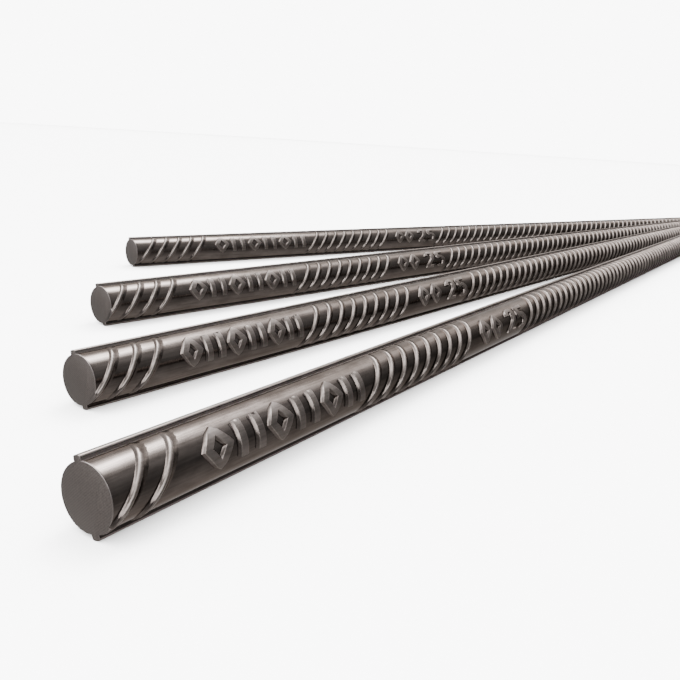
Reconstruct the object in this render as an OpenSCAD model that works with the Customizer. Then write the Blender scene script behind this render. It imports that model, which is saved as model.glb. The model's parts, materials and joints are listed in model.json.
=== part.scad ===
// Four lengths of ribbed concrete-reinforcing bar, laid side by side on a level floor.
// The bars lie in a loose fan: spread at their near ends, closest at their far ends.
// Millimetres. +X runs from the near ends to the far ends, +Z is up, and the origin is
// on the floor below the middle of the whole lay.

/* [Bar] */
// Diameter of the round core
core_d = 24; // [10:0.5:40]
// Cut length of each bar
bar_len = 1200; // [600:10:2400]

/* [Lengthwise ribs] */
// Width of each of the two ribs that run the whole length
rib_w = 3.4; // [1.5:0.1:4.5]
// How far each of these ribs stands out of the core
rib_h = 1.9; // [0.8:0.1:3]
// Radius of the hollow fillet at a rib's foot
foot_r = 0.8; // [0.3:0.1:1.5]
// How far the plane through both ribs leans from upright, top towards +Y (degrees)
rib_lean = 18.5; // [0:0.5:30]

/* [Crosswise ribs] */
// Room kept around the core for the slanted crosswise ribs
crest_h = 1.6; // [0:0.1:3]

/* [Lay of the bars] */
// Direction of the front bar, turned from +X towards +Y (degrees)
front_yaw = 8.05; // [4:0.05:12]
// Turn from the front bar to the second bar (degrees)
second_fan = 3.25; // [1:0.05:6]
// Turn from the second bar to the third bar (degrees)
third_fan = 4.85; // [1:0.05:6]
// Turn from the third bar to the back bar (degrees)
back_fan = 8.05; // [1:0.05:10]
// Clear space between the rib crests of the front and second bars at the far end
second_gap = 4; // [0.3:0.1:30]
// Clear space between the rib crests of the second and third bars at the far end
third_gap = 0.4; // [0.3:0.1:30]
// Clear space between the rib crests of the third and back bars at the far end
back_gap = 0.4; // [0.3:0.1:30]
// How far the second bar's far end runs past the front bar's
second_step = 71.5; // [0:0.5:200]
// How far the third bar's far end runs past the second bar's
third_step = 98; // [0:0.5:200]
// How far the back bar's far end runs past the third bar's
back_step = 131; // [0:0.5:200]

/* [Hidden] */
$fn = 96;

core_r = core_d / 2;
// A lengthwise rib ends in a half-round tip of this radius, centred this far from the axis
tip_r = rib_w / 2;
tip_at = core_r + rib_h - tip_r;

// Half the height and half the width of one bar as it lies, ribs included
half_high = max(core_r, tip_at * cos(rib_lean) + tip_r);
half_wide = max(core_r, tip_at * sin(rib_lean) + tip_r);

// Directions of the four bars, and the far end of each, found from the bar in front of it
yaws = [front_yaw,
        front_yaw - second_fan,
        front_yaw - second_fan - third_fan,
        front_yaw - second_fan - third_fan - back_fan];

function along(yaw) = [cos(yaw), sin(yaw)];
function aside(yaw) = [-sin(yaw), cos(yaw)];
function next_far(far, yaw, gap, step) =
    far + step * along(yaw) + (core_d + 2 * crest_h + gap) * aside(yaw);

front_far = [0, 0];
second_far = next_far(front_far, yaws[1], second_gap, second_step);
third_far = next_far(second_far, yaws[2], third_gap, third_step);
back_far = next_far(third_far, yaws[3], back_gap, back_step);
fars = [front_far, second_far, third_far, back_far];
nears = [for (i = [0:3]) fars[i] - bar_len * along(yaws[i])];

// The box around the lay in plan: each end face reaches this far from its own centre
function reach(yaw) = half_wide * [abs(sin(yaw)), cos(yaw)];
lows = [for (i = [0:3], p = [fars[i], nears[i]]) p - reach(yaws[i])];
highs = [for (i = [0:3], p = [fars[i], nears[i]]) p + reach(yaws[i])];
middle = [for (k = [0:1]) (min([for (p = lows) p[k]]) + max([for (p = highs) p[k]])) / 2];

// One lengthwise rib, pointing along +Y: a bar's width with a half-round tip, and a
// hollow fillet on each side that runs out into the core
module lengthwise_rib() {
    side = tip_r + foot_r;
    up = sqrt(pow(core_r + foot_r, 2) - pow(side, 2));
    onto_core = core_r / (core_r + foot_r);
    translate([-tip_r, 0]) square([rib_w, tip_at]);
    translate([0, tip_at]) circle(r = tip_r, $fn = 32);
    difference() {
        polygon([[-side * onto_core, up * onto_core], [side * onto_core, up * onto_core],
                 [tip_r, up], [-tip_r, up]]);
        for (s = [-1, 1]) translate([s * side, up]) circle(r = foot_r, $fn = 32);
    }
}

// The rolled section: a round core with two ribs opposite each other
module section() {
    circle(r = core_r);
    for (turn = [0, 180]) rotate(turn) lengthwise_rib();
}

// One bar, in its place on the floor; i counts from the front
module bar(i) {
    translate([nears[i][0] - middle[0], nears[i][1] - middle[1], half_high])
        rotate([0, 0, yaws[i]])
            rotate([90, 0, 90])
                linear_extrude(height = bar_len)
                    rotate(-rib_lean) section();
}

module front_bar() { color([0.40, 0.37, 0.36]) bar(0); }
module second_bar() { color([0.43, 0.40, 0.39]) bar(1); }
module third_bar() { color([0.46, 0.43, 0.42]) bar(2); }
module back_bar() { color([0.49, 0.46, 0.45]) bar(3); }

front_bar();
second_bar();
third_bar();
back_bar();
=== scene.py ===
"""The looks of a loose bundle of ribbed reinforcing bar, built around its packed bars."""
import json
import logging
import math
from dataclasses import dataclass, field
from enum import Enum
from typing import Callable

import bpy
from mathutils import Matrix, Vector


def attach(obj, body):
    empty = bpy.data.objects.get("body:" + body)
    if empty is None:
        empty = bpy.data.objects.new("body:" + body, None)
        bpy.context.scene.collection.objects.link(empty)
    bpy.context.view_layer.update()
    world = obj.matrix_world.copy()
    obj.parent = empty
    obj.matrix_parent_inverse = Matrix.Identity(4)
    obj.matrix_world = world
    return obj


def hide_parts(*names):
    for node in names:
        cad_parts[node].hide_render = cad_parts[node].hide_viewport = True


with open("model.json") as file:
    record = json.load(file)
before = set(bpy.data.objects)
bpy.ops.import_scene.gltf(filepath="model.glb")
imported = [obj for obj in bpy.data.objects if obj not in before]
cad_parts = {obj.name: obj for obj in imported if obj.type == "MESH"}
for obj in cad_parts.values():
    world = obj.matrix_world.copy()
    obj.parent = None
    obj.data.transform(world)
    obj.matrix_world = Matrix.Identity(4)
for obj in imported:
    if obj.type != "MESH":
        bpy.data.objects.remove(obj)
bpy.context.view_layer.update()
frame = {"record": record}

MM = 0.001
CLOSE = 0.01 * MM  # places nearer to each other than this count as one
MOSTLY = 0.5  # share of a face's normal along an axis from which it roughly faces that way
SQUARELY = 0.9  # the same for a face that truly faces that way
SHARP = math.radians(40)  # edges that turn more than this stay crisp
PLACE = "rolled_place"
LOG = logging.getLogger("rebar_bundle")

# Each bar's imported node, how many crosswise ribs it has before its first row of marks, and where
# its three runs of ribs on the front flank start, in millimetres from the near end.
BARS = (
    ("front_bar", 2, (8.8, 157.7, 369.7)),
    ("second_bar", 3, (6.5, 157.5, 367.9)),
    ("third_bar", 4, (4.9, 179.5, 392.4)),
    ("back_bar", 5, (11.6, 208.3, 412.7)),
)


class Flank(Enum):
    """A bar's two sides, each by the turn from the upper lengthwise rib to its middle."""

    FRONT = 90.0
    BACK = -90.0


def deselect_all() -> None:
    """Clears the object selection, leaving edit mode first."""
    if bpy.context.object and bpy.context.object.mode != "OBJECT":
        bpy.ops.object.mode_set(mode="OBJECT")
    bpy.ops.object.select_all(action="DESELECT")


def make_active(piece: bpy.types.Object) -> None:
    """Selects one object alone and makes it active.

    Args:
        piece: The object to work on.
    """
    deselect_all()
    piece.select_set(True)
    bpy.context.view_layer.objects.active = piece


def join(pieces: list[bpy.types.Object], name: str) -> bpy.types.Object:
    """Joins meshes into one object.

    Args:
        pieces: The objects to join; the first keeps its origin and materials.
        name: The name of the joined object and its mesh.

    Returns:
        The joined object.
    """
    make_active(pieces[0])
    for piece in pieces[1:]:
        piece.select_set(True)
    bpy.ops.object.join()
    whole = bpy.context.object
    whole.name = whole.data.name = name
    return whole


def close_up(piece: bpy.types.Object, reach: float) -> None:
    """Merges points that lie together and drops faces of no size.

    Args:
        piece: The object to mend.
        reach: How close points must be to merge, in metres.
    """
    make_active(piece)
    bpy.ops.object.mode_set(mode="EDIT")
    bpy.ops.mesh.select_all(action="SELECT")
    bpy.ops.mesh.remove_doubles(threshold=reach)
    bpy.ops.mesh.dissolve_degenerate(threshold=reach)
    bpy.ops.object.mode_set(mode="OBJECT")


def select_faces(piece: bpy.types.Object,
                 wanted: Callable[[bpy.types.MeshPolygon], bool]) -> None:
    """Selects the faces that pass a test, and nothing else, and stays in edit mode.

    Args:
        piece: The active object, in edit mode.
        wanted: The test, given a face.
    """
    bpy.ops.mesh.select_mode(type="FACE")
    bpy.ops.mesh.select_all(action="DESELECT")
    bpy.ops.object.mode_set(mode="OBJECT")
    for face in piece.data.polygons:
        face.select = wanted(face)
    bpy.ops.object.mode_set(mode="EDIT")


def select_edges(piece: bpy.types.Object,
                 wanted: Callable[[Vector, Vector], bool]) -> None:
    """Selects the edges that pass a test, and nothing else, and stays in edit mode.

    Args:
        piece: The active object, in edit mode.
        wanted: The test, given the places of an edge's two ends.
    """
    bpy.ops.mesh.select_mode(type="EDGE")
    bpy.ops.mesh.select_all(action="DESELECT")
    bpy.ops.object.mode_set(mode="OBJECT")
    spots = piece.data.vertices
    for edge in piece.data.edges:
        a, b = edge.vertices
        edge.select = wanted(spots[a].co, spots[b].co)
    bpy.ops.object.mode_set(mode="EDIT")


def bar_ends(node: str) -> tuple[Vector, Vector]:
    """Reads where the centres of a bar's two sawn faces lie.

    Args:
        node: The bar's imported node.

    Returns:
        The near centre and the far centre, in metres.
    """
    spots = {mount["name"]: Vector(mount["pos_m"]) for mount in frame["record"]["mounts"]}
    return spots[f"{node}_near_end"], spots[f"{node}_far_end"]


class Wiring:
    """Adds nodes to one node tree and links them."""

    def __init__(self, tree: bpy.types.NodeTree) -> None:
        """Keeps the tree to work on."""
        self.tree = tree

    def set(self, node: bpy.types.Node, values: dict[str | int, object]) -> None:
        """Fills a node's inputs.

        Args:
            node: The node.
            values: For each input, another node's output to link or a plain value.
        """
        for name, value in values.items():
            if isinstance(value, bpy.types.NodeSocket):
                self.tree.links.new(value, node.inputs[name])
            else:
                node.inputs[name].default_value = value

    def add(self, kind: str, values: dict[str | int, object] | None = None,
            **settings: object) -> bpy.types.Node:
        """Adds a node.

        Args:
            kind: The node's type, without the word ShaderNode.
            values: Its inputs, as in set.
            settings: Its own settings.

        Returns:
            The node.
        """
        node = self.tree.nodes.new(f"ShaderNode{kind}")
        for name, value in settings.items():
            setattr(node, name, value)
        self.set(node, values or {})
        return node

    def math(self, operation: str, *values: object) -> bpy.types.NodeSocket:
        """Adds a Math node and gives its output."""
        return self.add("Math", dict(enumerate(values)), operation=operation).outputs[0]

    def span(self, value: bpy.types.NodeSocket, low: float, high: float, to_low: float = 0.0,
             to_high: float = 1.0) -> bpy.types.NodeSocket:
        """Eases a value from one range to another.

        Args:
            value: The value.
            low: Where the range starts.
            high: Where it ends.
            to_low: The result at its start and below.
            to_high: The result at its end and above.

        Returns:
            The eased value.
        """
        names = ("Value", "From Min", "From Max", "To Min", "To Max")
        node = self.add("MapRange", dict(zip(names, (value, low, high, to_low, to_high))),
                        interpolation_type="SMOOTHSTEP")
        return node.outputs[0]

    def blend(self, first: bpy.types.NodeSocket, second: bpy.types.NodeSocket,
              share: float) -> bpy.types.NodeSocket:
        """Adds two values up in shares that make one whole.

        Args:
            first: The first value.
            second: The second value.
            share: How much of the first value there is.

        Returns:
            The sum.
        """
        return self.math("ADD", self.math("MULTIPLY", first, share),
                         self.math("MULTIPLY", second, 1 - share))

    def mix(self, share: object, first: object, second: object) -> bpy.types.NodeSocket:
        """Mixes two colours.

        Args:
            share: How much of the second colour there is.
            first: The first colour.
            second: The second colour.

        Returns:
            The mixed colour.
        """
        node = self.add("Mix", {0: share, 6: first, 7: second}, data_type="RGBA")
        return node.outputs[2]


@dataclass(frozen=True)
class BarSection:
    """The rolled section that all the bars share, in metres and degrees.

    The angle on the section is counted from straight up, clockwise as seen looking down the bar.
    """

    core_r: float = 12.0 * MM
    rib_w: float = 3.4 * MM
    rib_h: float = 1.9 * MM
    rib_round: float = 0.95 * MM
    foot_w: float = 0.75 * MM
    lean: float = -18.5
    sides: int = 72
    saw_edge: float = 0.3 * MM
    ring: float = 0.9 * MM

    def point(self, along: float, angle: float, radius: float) -> Vector:
        """Finds a point near a bar that lies along +X with its axis at the origin.

        Args:
            along: Distance from the near end.
            angle: Angle on the section, in degrees, clockwise from straight up.
            radius: Distance from the bar's axis.

        Returns:
            The point.
        """
        turn = math.radians(angle)
        return Vector((along, -radius * math.sin(turn), radius * math.cos(turn)))


@dataclass(frozen=True)
class CrossRib:
    """One slanted crosswise rib: a crescent in a plane that leans along the bar.

    throw is how far it leans along the bar from its middle to the lengthwise ribs, half_span the
    turn from its middle to its tips in degrees, and run_out how much further it goes on under the
    core. profile holds the rib's cut across its crest, from the near foot to the far foot: the
    distance along the bar from the crest's near edge in millimetres, and the share of the full
    height.
    """

    height: float = 1.6 * MM
    throw: float = 10.0 * MM
    half_span: float = 80.0
    run_out: float = 3.0
    fade: float = 2.6
    sink: float = 0.12 * MM
    rows: int = 16
    profile: tuple[tuple[float, float], ...] = (
        (-1.2, 0.0), (-0.9, 0.14), (-0.62, 0.42), (-0.3, 0.8), (0.0, 0.96), (0.45, 1.02),
        (1.05, 0.93), (1.9, 0.71), (2.9, 0.45), (4.1, 0.19), (5.4, 0.0),
    )

    def rise(self, turn: float) -> float:
        """Gives the crest's height above the core at a turn from the flank's middle.

        Args:
            turn: Turn from the middle, in degrees.

        Returns:
            The height in metres, nothing at the crescent's two tips.
        """
        return self.height * (1.0 - min(1.0, abs(turn) / self.half_span) ** self.fade)

    def build(self, section: BarSection, flank: Flank) -> bpy.types.Object:
        """Models one crescent around the core, its middle at no distance along the bar.

        Args:
            section: The bar's section.
            flank: The side of the bar that the crescent is on.

        Returns:
            The crescent, closed below the core's surface.
        """
        deselect_all()
        columns = len(self.profile) - 1
        bpy.ops.mesh.primitive_grid_add(x_subdivisions=columns, y_subdivisions=self.rows, size=1.0)
        crescent = bpy.context.object
        middle = section.lean + flank.value
        for vertex in crescent.data.vertices:
            offset, share = self.profile[round((vertex.co.x + 0.5) * columns)]
            turn = 2.0 * vertex.co.y * (self.half_span + self.run_out)
            along = offset * MM - self.throw * math.sin(math.radians(turn))
            lift = (self.rise(turn) + self.sink) * share - self.sink
            vertex.co = section.point(along, middle + turn, section.core_r + lift)
        make_active(crescent)
        bpy.ops.object.mode_set(mode="EDIT")
        bpy.ops.mesh.select_all(action="SELECT")
        bpy.ops.mesh.region_to_loop()
        bpy.ops.mesh.edge_face_add()
        bpy.ops.mesh.select_all(action="SELECT")
        bpy.ops.mesh.normals_make_consistent(inside=False)
        bpy.ops.object.mode_set(mode="OBJECT")
        return crescent


class Glyph(Enum):
    """The plain shapes of the rolled marks: strokes of points, across and up from 0 to 1."""

    LOZENGE = (((0.5, 0.0), (1.0, 0.5), (0.5, 1.0), (0.0, 0.5), (0.5, 0.0)),)
    TWIN_BARS = (((0.04, 0.0), (0.04, 1.0)), ((0.96, 0.0), (0.96, 1.0)))
    TWO = (((0.05, 0.74), (0.12, 0.9), (0.32, 1.0), (0.66, 1.0), (0.88, 0.9), (0.93, 0.7),
            (0.82, 0.5), (0.4, 0.22), (0.08, 0.0), (0.95, 0.0)),)
    FIVE = (((0.92, 1.0), (0.12, 1.0), (0.08, 0.55), (0.35, 0.64), (0.68, 0.62), (0.9, 0.46),
             (0.94, 0.28), (0.82, 0.08), (0.55, 0.0), (0.25, 0.02), (0.05, 0.12)),)


@dataclass(frozen=True)
class RolledMarks:
    """Two rows of plain raised marks on the front flank, where the crosswise ribs leave off.

    Each stroke is a ridge with steep sides, as wide as stroke around the bar and stretch times that
    along it. The marks reach from top to foot, in degrees on the section, and a row keeps the
    distances before and after from the ribs beside it. first and second list each mark's place in
    its row, in steps, and its shape.
    """

    height: float = 1.3 * MM
    sink: float = 0.3 * MM
    stroke: float = 3.2 * MM
    stretch: float = 1.8
    slope: float = 0.5 * MM
    top: float = 35.0
    foot: float = 97.0
    step: float = 1.0 * MM
    share: float = 0.62
    before: float = 17.5 * MM
    after: float = 9.5 * MM
    first: tuple[tuple[float, Glyph], ...] = (
        (0.0, Glyph.LOZENGE), (1.0, Glyph.TWIN_BARS), (2.0, Glyph.LOZENGE),
        (3.0, Glyph.TWIN_BARS), (4.0, Glyph.LOZENGE), (5.0, Glyph.TWIN_BARS),
    )
    second: tuple[tuple[float, Glyph], ...] = (
        (0.0, Glyph.LOZENGE), (1.0, Glyph.LOZENGE), (2.4, Glyph.TWO), (3.4, Glyph.FIVE),
    )

    def stroke_points(self, stroke: tuple[tuple[float, float], ...], wide: float,
                      tall: float) -> list[tuple[float, float]]:
        """Lays a stroke out flat, with points close enough together to wrap smoothly.

        Args:
            stroke: The stroke's corner points, across and up from 0 to 1.
            wide: The mark's width along the bar.
            tall: The mark's height around the bar.

        Returns:
            The points, in metres.
        """
        spots = [(x * wide / self.stretch, y * tall) for x, y in stroke]
        dense = [spots[0]]
        for (x0, y0), (x1, y1) in zip(spots, spots[1:]):
            parts = max(1, round(math.hypot(x1 - x0, y1 - y0) / self.step))
            dense += [(x0 + (x1 - x0) * k / parts, y0 + (y1 - y0) * k / parts)
                      for k in range(1, parts + 1)]
        return dense

    def build_glyph(self, section: BarSection, glyph: Glyph, along: float,
                    wide: float) -> bpy.types.Object:
        """Models one raised mark on the bar, as closed ridges sunk a little into the core.

        Args:
            section: The bar's section.
            glyph: The mark's shape.
            along: Where the mark's near edge lies along the bar.
            wide: The mark's width along the bar.

        Returns:
            The mark.
        """
        tall = math.radians(self.foot - self.top) * section.core_r
        path = bpy.data.curves.new("mark", "CURVE")
        path.dimensions = "3D"
        path.twist_mode = "Z_UP"
        path.bevel_depth = self.stroke / 2
        path.bevel_resolution = 5
        path.use_fill_caps = True
        for stroke in glyph.value:
            points = self.stroke_points(stroke, wide, tall)
            line = path.splines.new("POLY")
            line.use_cyclic_u = stroke[0] == stroke[-1]
            points = points[:-1] if line.use_cyclic_u else points
            line.points.add(len(points) - 1)
            for point, (x, y) in zip(line.points, points):
                point.co = (x, y, 0.0, 1.0)
        mark = bpy.data.objects.new("mark", path)
        bpy.context.scene.collection.objects.link(mark)
        make_active(mark)
        bpy.ops.object.convert(target="MESH")
        for vertex in mark.data.vertices:
            level = max(-1.0, min(1.0, vertex.co.z / (self.stroke / 2)))
            inward = (1 - math.sqrt(1 - level * level)) * self.stroke / 2
            share = math.sin(math.pi / 2 * min(1.0, inward / self.slope))
            lift = self.height * share if level > 0 else self.sink * level
            angle = self.foot - math.degrees(vertex.co.y / section.core_r)
            vertex.co = section.point(along + vertex.co.x * self.stretch, angle,
                                      section.core_r + lift)
        close_up(mark, CLOSE)
        return mark

    def build(self, section: BarSection,
              rooms: list[tuple[float, float]]) -> list[bpy.types.Object]:
        """Models both rows of marks on one bar.

        Args:
            section: The bar's section.
            rooms: For each row, the ribs' middles that it lies between, along the bar.

        Returns:
            The marks.
        """
        marks = []
        for (start, end), row in zip(rooms, (self.first, self.second)):
            spacing = (end - self.after - start - self.before) / (row[-1][0] + 1.0)
            for place, glyph in row:
                along = start + self.before + self.stroke * self.stretch / 2 + place * spacing
                marks.append(self.build_glyph(section, glyph, along, self.share * spacing))
        return marks


@dataclass(frozen=True)
class SteelEffects:
    """Surface effects that the rolled and the sawn steel share, as node groups.

    The corner beside a lengthwise rib is centred corner_off outside the rib's side, and fades out
    over the span corner_rise above the core, all in millimetres.
    """

    corner_off: float = 0.25
    corner_rise: tuple[float, float] = (0.3, 1.3)

    def new_group(self, name: str, inputs: dict[str, float],
                  outputs: list[str]) -> tuple[bpy.types.NodeTree, Wiring, dict[str, object]]:
        """Starts a group that reads the bar's own coordinates.

        Args:
            name: The group's name.
            inputs: Its number inputs and their usual values.
            outputs: Its number outputs.

        Returns:
            The group, its wiring and its input sockets by name, with Place first.
        """
        tree = bpy.data.node_groups.new(name, "ShaderNodeTree")
        tree.interface.new_socket("Place", in_out="INPUT", socket_type="NodeSocketVector")
        for title, value in inputs.items():
            socket = tree.interface.new_socket(title, in_out="INPUT", socket_type="NodeSocketFloat")
            socket.default_value = value
        for title in outputs:
            tree.interface.new_socket(title, in_out="OUTPUT", socket_type="NodeSocketFloat")
        wiring = Wiring(tree)
        sockets = {socket.name: socket for socket in tree.nodes.new("NodeGroupInput").outputs}
        return tree, wiring, sockets

    def finish_group(self, tree: bpy.types.NodeTree,
                     results: dict[str, bpy.types.NodeSocket]) -> None:
        """Wires a group's outputs.

        Args:
            tree: The group.
            results: For each output, what feeds it.
        """
        end = tree.nodes.new("NodeGroupOutput")
        for name, value in results.items():
            tree.links.new(value, end.inputs[name])

    def build_grain(self) -> bpy.types.NodeTree:
        """Makes the fine grain, which can be drawn out into streaks.

        Returns:
            The group, which puts out the grain as Value, about 0.5 on average.
        """
        tree, wiring, ins = self.new_group("steel_grain", {"Scale": 900.0, "Stretch": 1.0},
                                           ["Value"])
        drawn = wiring.add("CombineXYZ", {"X": ins["Stretch"], "Y": 1.0, "Z": 1.0}).outputs[0]
        place = wiring.add("VectorMath", {0: ins["Place"], 1: drawn},
                           operation="MULTIPLY").outputs[0]
        noise = wiring.add("TexNoise", {"Vector": place, "Scale": ins["Scale"], "Detail": 5.0,
                                        "Roughness": 0.62})
        self.finish_group(tree, {"Value": noise.outputs[0]})
        return tree

    def build_heights(self, section: BarSection) -> bpy.types.NodeTree:
        """Makes the masks that follow the rolled shape.

        Args:
            section: The bar's section.

        Returns:
            The group: Rise is the height above the core in millimetres, Groove is 1 in the corners
            beside the lengthwise ribs, Upper is 1 on the half with the upper rib.
        """
        tree, wiring, ins = self.new_group("rolled_heights", {"Groove Width": 1.1},
                                           ["Rise", "Groove", "Upper"])
        parts = wiring.add("SeparateXYZ", {0: ins["Place"]}).outputs
        radius = wiring.math("SQRT", wiring.math("ADD", wiring.math("MULTIPLY", parts[1], parts[1]),
                                                 wiring.math("MULTIPLY", parts[2], parts[2])))
        rise = wiring.math("MULTIPLY", wiring.math("SUBTRACT", radius, section.core_r), 1 / MM)
        side = wiring.math("MULTIPLY", wiring.math("ABSOLUTE", parts[1]), 1 / MM)
        corner = section.rib_w / 2 / MM + self.corner_off
        away = wiring.math("ABSOLUTE", wiring.math("SUBTRACT", side, corner))
        near = wiring.math("SUBTRACT", 1.0, wiring.math("DIVIDE", away, ins["Groove Width"]))
        low = wiring.span(rise, *self.corner_rise, 1.0, 0.0)
        groove = wiring.math("MULTIPLY", wiring.math("MAXIMUM", near, 0.0), low)
        upper = wiring.math("GREATER_THAN", parts[2], 0.0)
        self.finish_group(tree, {"Rise": rise, "Groove": groove, "Upper": upper})
        return tree


@dataclass(frozen=True)
class MillScale:
    """Hot-rolled steel with a thin, tight, satin mill scale.

    The crests of the relief are lighter and duller, the corners beside the upper lengthwise rib are
    dusty, and those beside the lower one are painted near black as painted shade. Each span runs
    from nothing to all of its effect: of the scale's tone, of the wear by height above the core in
    millimetres, of the wear that the streaks leave, and of the lengthwise ribs' tips, which wear
    less.
    """

    light: tuple[float, float, float] = (0.098, 0.084, 0.0775)
    dark: tuple[float, float, float] = (0.055, 0.0467, 0.0425)
    crest: tuple[float, float, float] = (0.185, 0.163, 0.152)
    # Painted shade: near black for the corners beside the lower lengthwise rib.
    painted_shade: tuple[float, float, float] = (0.016, 0.0135, 0.013)
    dust: tuple[float, float, float] = (0.26, 0.232, 0.22)
    metallic: float = 1.0
    roughness: tuple[float, float] = (0.15, 0.21)
    wear: float = 0.2
    edge_tint: tuple[float, float, float] = (0.6, 0.57, 0.55)
    streak_share: float = 0.45
    tone_span: tuple[float, float] = (0.36, 0.64)
    worn_span: tuple[float, float] = (1.0, 1.55)
    worn_mottle: float = 0.4
    kept_span: tuple[float, float] = (0.75, 1.3)
    kept_least: float = 0.55
    tip_span: tuple[float, float] = (1.66, 1.84)
    tip_worn: float = 0.15
    # How much of the dust and of the painted shade the corners beside the lengthwise ribs take.
    dust_and_shade_share: float = 0.6
    gloss_span: tuple[float, float] = (0.3, 0.7)
    bump_streaks: float = 0.6
    bump: float = 0.13
    bump_depth: float = 0.2 * MM

    def build(self, grain: bpy.types.NodeTree, heights: bpy.types.NodeTree) -> bpy.types.Material:
        """Makes the material.

        Args:
            grain: The group of fine grain.
            heights: The group of masks that follow the rolled shape.

        Returns:
            The material, on the bars' own coordinates.
        """
        material = bpy.data.materials.new("mill_scale")
        material.use_nodes = True
        wiring = Wiring(material.node_tree)
        shader = material.node_tree.nodes["Principled BSDF"]
        place = wiring.add("Attribute", attribute_name=PLACE).outputs["Vector"]
        streaks = wiring.add("Group", {"Place": place, "Scale": 1100.0, "Stretch": 0.022},
                             node_tree=grain).outputs[0]
        mottle = wiring.add("Group", {"Place": place, "Scale": 150.0, "Stretch": 0.4},
                            node_tree=grain).outputs[0]
        pores = wiring.add("Group", {"Place": place, "Scale": 2200.0, "Stretch": 0.6},
                           node_tree=grain).outputs[0]
        shape = wiring.add("Group", {"Place": place}, node_tree=heights).outputs
        tone = wiring.blend(streaks, mottle, self.streak_share)
        scale = wiring.mix(wiring.span(tone, *self.tone_span), (*self.dark, 1), (*self.light, 1))
        worn = wiring.span(wiring.math("ADD", shape["Rise"],
                                       wiring.math("MULTIPLY", mottle, self.worn_mottle)),
                           *self.worn_span)
        kept = wiring.span(wiring.math("ADD", streaks, mottle), *self.kept_span, self.kept_least,
                           1.0)
        tips = wiring.span(shape["Rise"], *self.tip_span, 1.0, self.tip_worn)
        shown = wiring.math("MULTIPLY", worn, wiring.math("MULTIPLY", kept, tips))
        bare = wiring.mix(shown, scale, (*self.crest, 1))
        # Dust in the corners beside the upper lengthwise rib, painted shade in those beside the
        # lower one.
        corner = wiring.mix(shape["Upper"], (*self.painted_shade, 1), (*self.dust, 1))
        base = wiring.mix(wiring.math("MULTIPLY", shape["Groove"], self.dust_and_shade_share), bare, corner)
        dusty = wiring.math("MULTIPLY", shape["Groove"], shape["Upper"])
        gloss = wiring.math("ADD", wiring.span(mottle, *self.gloss_span, *self.roughness),
                            wiring.math("MULTIPLY", wiring.math("MAXIMUM", worn, dusty), self.wear))
        height = wiring.blend(streaks, pores, self.bump_streaks)
        bump = wiring.add("Bump", {"Height": height, "Strength": self.bump,
                                   "Distance": self.bump_depth})
        wiring.set(shader, {"Base Color": base, "Metallic": self.metallic, "Roughness": gloss,
                            "Specular Tint": (*self.edge_tint, 1), "Normal": bump.outputs[0]})
        return material


@dataclass(frozen=True)
class SawnSteel:
    """The cut faces: dull grey steel with fine saw marks, and a burr at the rim whose brighter
    colour is a painted highlight.

    bar_length is how far apart a bar's two cut faces are, and the burr span how far from them the
    burr, painted lighter as a highlight, starts and is full.
    """

    bar_length: float
    light: tuple[float, float, float] = (0.134, 0.118, 0.111)
    dark: tuple[float, float, float] = (0.09, 0.079, 0.0735)
    # The burr's colour, lightened as a painted highlight along the cut edge.
    burr_highlight: tuple[float, float, float] = (0.18, 0.162, 0.155)
    metallic: float = 1.0
    roughness: tuple[float, float] = (0.42, 0.56)
    saw_turn: float = 24.0
    saw_share: float = 0.12
    tone_span: tuple[float, float] = (0.25, 0.75)
    gloss_span: tuple[float, float] = (0.3, 0.7)
    burr_highlight_span: tuple[float, float] = (0.02 * MM, 0.12 * MM)
    bump: float = 0.12
    bump_depth: float = 0.2 * MM

    def build(self, grain: bpy.types.NodeTree) -> bpy.types.Material:
        """Makes the material.

        Args:
            grain: The group of fine grain.

        Returns:
            The material, on the bars' own coordinates.
        """
        material = bpy.data.materials.new("sawn_steel")
        material.use_nodes = True
        wiring = Wiring(material.node_tree)
        shader = material.node_tree.nodes["Principled BSDF"]
        place = wiring.add("Attribute", attribute_name=PLACE).outputs["Vector"]
        turned = wiring.add("Mapping", {"Vector": place,
                                        "Rotation": (math.radians(self.saw_turn), 0.0, 0.0)})
        saw = wiring.add("TexWave", {"Vector": turned.outputs[0], "Scale": 420.0, "Distortion": 2.2,
                                     "Detail": 3.0, "Detail Scale": 1.6},
                         bands_direction="Z").outputs["Fac"]
        specks = wiring.add("Group", {"Place": place, "Scale": 1500.0, "Stretch": 1.0},
                            node_tree=grain).outputs[0]
        tone = wiring.blend(saw, specks, self.saw_share)
        face = wiring.mix(wiring.span(tone, *self.tone_span), (*self.dark, 1), (*self.light, 1))
        along = wiring.add("SeparateXYZ", {0: place}).outputs[0]
        half = self.bar_length / 2
        to_end = wiring.math("SUBTRACT", half, wiring.math(
            "ABSOLUTE", wiring.math("SUBTRACT", along, half)))
        # The burr at the rim is painted lighter: a painted highlight along the cut edge.
        burr_and_highlight = wiring.span(to_end, *self.burr_highlight_span)
        wiring.set(shader, {
            "Base Color": wiring.mix(burr_and_highlight, face, (*self.burr_highlight, 1)), "Metallic": self.metallic,
            "Roughness": wiring.span(specks, *self.gloss_span, *self.roughness),
            "Normal": wiring.add("Bump", {"Height": tone, "Strength": self.bump,
                                          "Distance": self.bump_depth}).outputs[0]})
        return material


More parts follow.
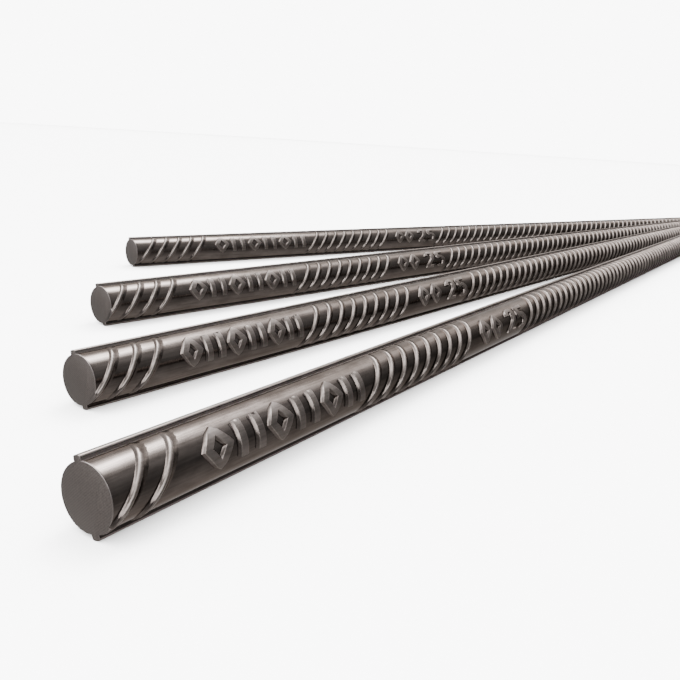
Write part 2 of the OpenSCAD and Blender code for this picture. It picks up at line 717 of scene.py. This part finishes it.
@dataclass
class RibbedBar:
    """One cut length of ribbed bar, in place on the floor.

    run_starts says where the first rib's middle of each of the three runs of ribs on the front
    flank lies, along the bar from its near end; pitch is the distance from rib to rib.
    """

    node: str
    ribs_before_mark: int
    run_starts: tuple[float, float, float]
    section: BarSection = field(default_factory=BarSection)
    cross_rib: CrossRib = field(default_factory=CrossRib)
    marks: RolledMarks = field(default_factory=RolledMarks)
    pitch: float = 13.3 * MM
    ribs_between_marks: int = 9
    sawn_normal: float = 0.35

    def build_core(self, length: float) -> bpy.types.Object:
        """Models the round core with its two lengthwise ribs, lying along +X from the origin.

        A ring of edges close to each sawn face keeps its softened edge from bending the shine
        along the whole bar.

        Args:
            length: The bar's length.

        Returns:
            The core.
        """
        cut = self.section
        tip = cut.core_r + cut.rib_h
        side = cut.rib_w / 2
        deselect_all()
        bpy.ops.mesh.primitive_cylinder_add(vertices=cut.sides, radius=cut.core_r, depth=length,
                                            end_fill_type="NGON", location=(length / 2, 0, 0),
                                            rotation=(0, math.radians(90), 0))
        core = bpy.context.object
        make_active(core)
        bpy.ops.object.transform_apply(location=True, rotation=True, scale=True)
        bpy.ops.object.mode_set(mode="EDIT")
        for left in (-side, side):
            bpy.ops.mesh.select_all(action="SELECT")
            bpy.ops.mesh.bisect(plane_co=(0, left, 0), plane_no=(0, 1, 0))
        for up in (-1, 1):
            select_faces(core, lambda face: abs(face.normal.x) < MOSTLY
                         and abs(face.center.y) < side and face.normal.z * up > MOSTLY)
            bpy.ops.mesh.dissolve_faces(use_verts=True)
            bpy.ops.mesh.extrude_region_move()
            bpy.ops.transform.resize(value=(1, 1, 0), center_override=(0, 0, up * tip))
        long_edge = length / 2
        select_edges(core, lambda a, b: abs(a.x - b.x) > long_edge
                     and abs(abs(a.z) - tip) < CLOSE)
        bpy.ops.mesh.bevel(offset=cut.rib_round, segments=5, affect="EDGES", clamp_overlap=True)
        foot_z = math.sqrt(cut.core_r ** 2 - side ** 2)
        select_edges(core, lambda a, b: abs(a.x - b.x) > long_edge
                     and abs(abs(a.y) - side) < CLOSE and abs(abs(a.z) - foot_z) < CLOSE)
        bpy.ops.mesh.bevel(offset=cut.foot_w, segments=4, affect="EDGES", clamp_overlap=True)
        for toward in (-1, 1):
            select_faces(core, lambda face: face.normal.x * toward > SQUARELY)
            bpy.ops.mesh.dissolve_faces(use_verts=False)
        select_faces(core, lambda face: abs(face.normal.x) > SQUARELY)
        bpy.ops.mesh.bevel(offset=cut.saw_edge, segments=2, affect="EDGES", clamp_overlap=True)
        for ring in (cut.ring, length - cut.ring):
            bpy.ops.mesh.select_all(action="SELECT")
            bpy.ops.mesh.bisect(plane_co=(ring, 0, 0), plane_no=(1, 0, 0))
        bpy.ops.mesh.select_all(action="SELECT")
        bpy.ops.mesh.normals_make_consistent(inside=False)
        bpy.ops.object.mode_set(mode="OBJECT")
        core.rotation_euler.x = math.radians(cut.lean)
        bpy.ops.object.transform_apply(location=True, rotation=True, scale=True)
        return core

    def rib_runs(self, flank: Flank, length: float) -> list[tuple[float, int]]:
        """Lists the unbroken runs of crosswise ribs on one flank.

        Args:
            flank: The side of the bar.
            length: The bar's length.

        Returns:
            For each run, where its first rib's middle is and how many ribs it has.
        """
        last = length + self.cross_rib.throw
        first, between, after = self.run_starts
        if flank is Flank.BACK:
            start = first + self.pitch / 2
            return [(start, 1 + int((last - start) / self.pitch))]
        return [(first, self.ribs_before_mark), (between, self.ribs_between_marks),
                (after, 1 + int((last - after) / self.pitch))]

    def mark_rooms(self) -> list[tuple[float, float]]:
        """Lists the two stretches of the front flank that the marks lie in.

        Returns:
            For each, the middles of the ribs before and after it, along the bar.
        """
        first, between, after = self.run_starts
        return [(first + (self.ribs_before_mark - 1) * self.pitch, between),
                (between + (self.ribs_between_marks - 1) * self.pitch, after)]

    def build_cross_ribs(self, length: float) -> list[bpy.types.Object]:
        """Models the crosswise ribs of both flanks, sawn off where they meet the bar's ends.

        Args:
            length: The bar's length.

        Returns:
            One object for each run of ribs.
        """
        runs = []
        for flank in Flank:
            for start, count in self.rib_runs(flank, length):
                run = self.cross_rib.build(self.section, flank)
                row = run.modifiers.new("row", "ARRAY")
                row.use_relative_offset = False
                row.use_constant_offset = True
                row.constant_offset_displace = (self.pitch, 0, 0)
                row.count = count
                bpy.ops.object.modifier_apply(modifier=row.name)
                run.location.x = start
                bpy.ops.object.transform_apply(location=True, rotation=False, scale=False)
                bpy.ops.object.mode_set(mode="EDIT")
                for end, outward in ((0.0, -1), (length, 1)):
                    bpy.ops.mesh.select_all(action="SELECT")
                    bpy.ops.mesh.bisect(plane_co=(end, 0, 0), plane_no=(outward, 0, 0),
                                        use_fill=True, clear_outer=True)
                close_up(run, CLOSE / 2)
                runs.append(run)
        return runs

    def keep_place(self, bar: bpy.types.Object) -> None:
        """Stores each point's place on the straight bar, for the finishes to follow.

        The first number runs along the bar, the third through both lengthwise ribs.

        Args:
            bar: The bar, still lying along +X from the origin.
        """
        upright = Matrix.Rotation(math.radians(-self.section.lean), 3, "X")
        places = bar.data.attributes.new(PLACE, "FLOAT_VECTOR", "POINT")
        for vertex, place in zip(bar.data.vertices, places.data):
            place.vector = upright @ vertex.co

    def build(self, finishes: list[bpy.types.Material]) -> bpy.types.Object:
        """Models the bar, dresses it and puts it where its packed bar lies.

        Args:
            finishes: The rolled surface's material and the sawn faces' material.

        Returns:
            The finished bar.
        """
        near, far = bar_ends(self.node)
        length = (far - near).length
        parts = [self.build_core(length), *self.build_cross_ribs(length),
                 *self.marks.build(self.section, self.mark_rooms())]
        bar = join(parts, f"{self.node}_rolled")
        self.keep_place(bar)
        bar.data.materials.clear()
        for finish in finishes:
            bar.data.materials.append(finish)
        for face in bar.data.polygons:
            at_end = min(abs(face.center.x), abs(face.center.x - length)) < self.section.saw_edge
            face.material_index = 1 if at_end and abs(face.normal.x) > self.sawn_normal else 0
        make_active(bar)
        bpy.ops.object.shade_smooth_by_angle(angle=SHARP)
        heading = (far - near).to_2d().angle_signed(Vector((1, 0)))
        bar.location = near
        bar.rotation_euler.z = heading
        bpy.ops.object.transform_apply(location=True, rotation=True, scale=True)
        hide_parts(self.node)
        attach(bar, "root")
        LOG.info("%s: %d faces, %.4f m long, heading %.2f degrees", bar.name,
                 len(bar.data.polygons), length, math.degrees(heading))
        return bar


@dataclass(frozen=True)
class Studio:
    """A pale floor, soft light and the camera.

    eye is where the camera stands; its heading, pitch and roll are in degrees. floor_glow is how
    bright the bars' own shine sees the floor, straight on and at a glance. room_glow and
    strip_glow list how bright the room and the strip light overhead are by the turn across the
    bars, in degrees from straight up: -90 is level on the front bar's side, 90 level on the back
    bar's side. room_reach and strip_reach list what share of each is left by how far it comes from
    along the bars: -1 is straight from the near ends, 1 straight from the far ends.
    """

    eye: tuple[float, float, float] = (-0.8644, -0.4038, 0.1247)
    heading: float = 39.94
    pitch: float = -14.34
    roll: float = 3.58
    lens: float = 41.33
    sensor: float = 36.0
    floor_size: float = 60.0
    pale: float = 0.88
    floor_tint: tuple[float, float, float] = (1.0, 0.97, 0.95)
    floor_facing: tuple[float, float] = (0.1, 0.95)
    floor_glow: tuple[float, float] = (1.3, 0.45)
    backdrop: float = 9.0
    fill_glow: float = 5.3
    room_glow: tuple[tuple[float, float], ...] = (
        (-90.0, 0.28), (-66.0, 0.56), (-42.0, 0.9), (-18.0, 1.45), (4.0, 2.2), (30.0, 3.5),
        (60.0, 2.6), (90.0, 1.1),
    )
    room_reach: tuple[tuple[float, float], ...] = (
        (-1.0, 1.0), (0.68, 1.0), (0.82, 0.72), (0.93, 0.5), (1.0, 0.45),
    )
    strip_glow: tuple[tuple[float, float], ...] = (
        (-14.0, 0.0), (-4.0, 4.0), (6.0, 18.0), (16.0, 38.0), (26.0, 26.0), (38.0, 6.0),
        (50.0, 0.0),
    )
    strip_reach: tuple[tuple[float, float], ...] = (
        (-1.0, 0.25), (0.15, 0.25), (0.35, 0.8), (0.5, 1.3), (0.59, 1.5), (0.65, 0.2), (1.0, 0.06),
    )
    panel_glow: float = 9.0
    panel_place: tuple[float, float, float] = (-2.66, -1.96, 1.4)
    panel_aim: tuple[float, float, float] = (-0.6, -0.1, 0.0)
    panel_size: tuple[float, float] = (1.8, 2.0)
    fill_place: tuple[float, float, float] = (0.0, 0.0, 12.0)

    def build_floor(self) -> None:
        """Lays the pale floor, which the bars' own reflections see as an even, darker tone."""
        deselect_all()
        bpy.ops.mesh.primitive_plane_add(size=self.floor_size)
        floor = bpy.context.object
        floor.name = "floor"
        paint = bpy.data.materials.new("pale_floor")
        paint.use_nodes = True
        wiring = Wiring(paint.node_tree)
        glossy = wiring.add("LightPath").outputs["Is Glossy Ray"]
        matte = wiring.add("BsdfDiffuse", {"Color": (self.pale, self.pale, self.pale, 1)})
        level = wiring.add("LayerWeight", {"Blend": 0.5}).outputs["Facing"]
        tone = wiring.span(level, *self.floor_facing, *self.floor_glow)
        even = wiring.add("Emission", {"Color": (*self.floor_tint, 1), "Strength": tone})
        seen = wiring.add("MixShader", {0: glossy, 1: matte.outputs[0], 2: even.outputs[0]})
        wiring.set(paint.node_tree.nodes["Material Output"], {"Surface": seen.outputs[0]})
        floor.data.materials.append(paint)

    def build_camera(self) -> None:
        """Sets up the camera."""
        data = bpy.data.cameras.new("camera")
        data.lens = self.lens
        data.sensor_width = self.sensor
        camera = bpy.data.objects.new("camera", data)
        bpy.context.scene.collection.objects.link(camera)
        turn, tilt = math.radians(self.heading), math.radians(self.pitch)
        look = Vector((math.cos(turn) * math.cos(tilt), math.sin(turn) * math.cos(tilt),
                       math.sin(tilt)))
        facing = look.to_track_quat("-Z", "Y").to_matrix()
        facing = facing @ Matrix.Rotation(math.radians(self.roll), 3, "Z")
        camera.matrix_world = Matrix.Translation(self.eye) @ facing.to_4x4()
        bpy.context.scene.camera = camera

    def add_ramp(self, wiring: Wiring, value: bpy.types.NodeSocket, half: float,
                 levels: tuple[tuple[float, float], ...]) -> bpy.types.NodeSocket:
        """Adds a ramp that runs straight from level to level.

        Args:
            wiring: The world's wiring.
            value: What the ramp follows, from -half to half.
            half: Half of the span that it follows.
            levels: For each stop, the value that it belongs to and its level.

        Returns:
            The level.
        """
        ramp = wiring.add("ValToRGB", {0: wiring.math("MULTIPLY_ADD", value, 0.5 / half, 0.5)})
        brightest = max(level for _, level in levels)
        stops = ramp.color_ramp.elements
        while len(stops) < len(levels):
            stops.new(0.5)
        for stop, (place, level) in zip(stops, levels):
            stop.position = 0.5 * place / half + 0.5
            stop.color = (*(level / brightest,) * 3, 1)
        return wiring.math("MULTIPLY", ramp.outputs[0], brightest)

    def build_room(self) -> None:
        """Wraps the scene in a soft long light overhead that falls off towards the front."""
        world = bpy.data.worlds.new("studio")
        bpy.context.scene.world = world
        world.use_nodes = True
        wiring = Wiring(world.node_tree)
        toward = wiring.add("TexCoord").outputs["Generated"]
        parts = wiring.add("SeparateXYZ", {0: toward}).outputs
        turn = wiring.math("MULTIPLY", wiring.math("ARCTAN2", parts[1], parts[2]), 180 / math.pi)
        strip = wiring.math("MULTIPLY", self.add_ramp(wiring, turn, 90.0, self.strip_glow),
                            self.add_ramp(wiring, parts[0], 1.0, self.strip_reach))
        room = wiring.math("MULTIPLY_ADD", self.add_ramp(wiring, turn, 90.0, self.room_glow),
                           self.add_ramp(wiring, parts[0], 1.0, self.room_reach), strip)
        seen = wiring.add("LightPath").outputs["Is Camera Ray"]
        level = wiring.add("Mix", {0: seen, 2: room, 3: self.backdrop}, data_type="FLOAT")
        wiring.set(world.node_tree.nodes["Background"], {"Color": (1, 1, 1, 1),
                                                         "Strength": level.outputs[0]})

    def add_panel(self, name: str, place: Vector, aim: Vector, size: tuple[float, float],
                  level: float) -> bpy.types.Object:
        """Stands one flat soft light up.

        Args:
            name: The light's name.
            place: The middle of its face.
            aim: The point that it faces.
            size: Its width and height.
            level: How bright its face is.

        Returns:
            The light.
        """
        data = bpy.data.lights.new(name, "AREA")
        data.shape = "RECTANGLE"
        data.size, data.size_y = size
        data.energy = level * math.pi * size[0] * size[1]
        lamp = bpy.data.objects.new(name, data)
        facing = (aim - place).to_track_quat("-Z", "Y").to_matrix().to_4x4()
        lamp.matrix_world = Matrix.Translation(place) @ facing
        bpy.context.scene.collection.objects.link(lamp)
        return lamp

    def build(self) -> None:
        """Sets the whole studio up; the fill whitens the floor and leaves no shine on the steel."""
        self.build_camera()
        self.build_floor()
        self.build_room()
        self.add_panel("near_panel", Vector(self.panel_place), Vector(self.panel_aim),
                       self.panel_size, self.panel_glow)
        fill = self.add_panel("floor_fill", Vector(self.fill_place), Vector((0.0, 0.0, 0.0)),
                              (self.floor_size, self.floor_size), self.fill_glow)
        fill.visible_glossy = False


def main() -> None:
    """Builds the studio and the bars."""
    logging.basicConfig(level=logging.INFO)
    Studio().build()
    effects = SteelEffects()
    grain, heights = effects.build_grain(), effects.build_heights(BarSection())
    near, far = bar_ends(BARS[0][0])
    finishes = [MillScale().build(grain, heights), SawnSteel((far - near).length).build(grain)]
    for node, before, starts in BARS:
        RibbedBar(node, before, tuple(start * MM for start in starts)).build(finishes)


if __name__ == "__main__":
    main()
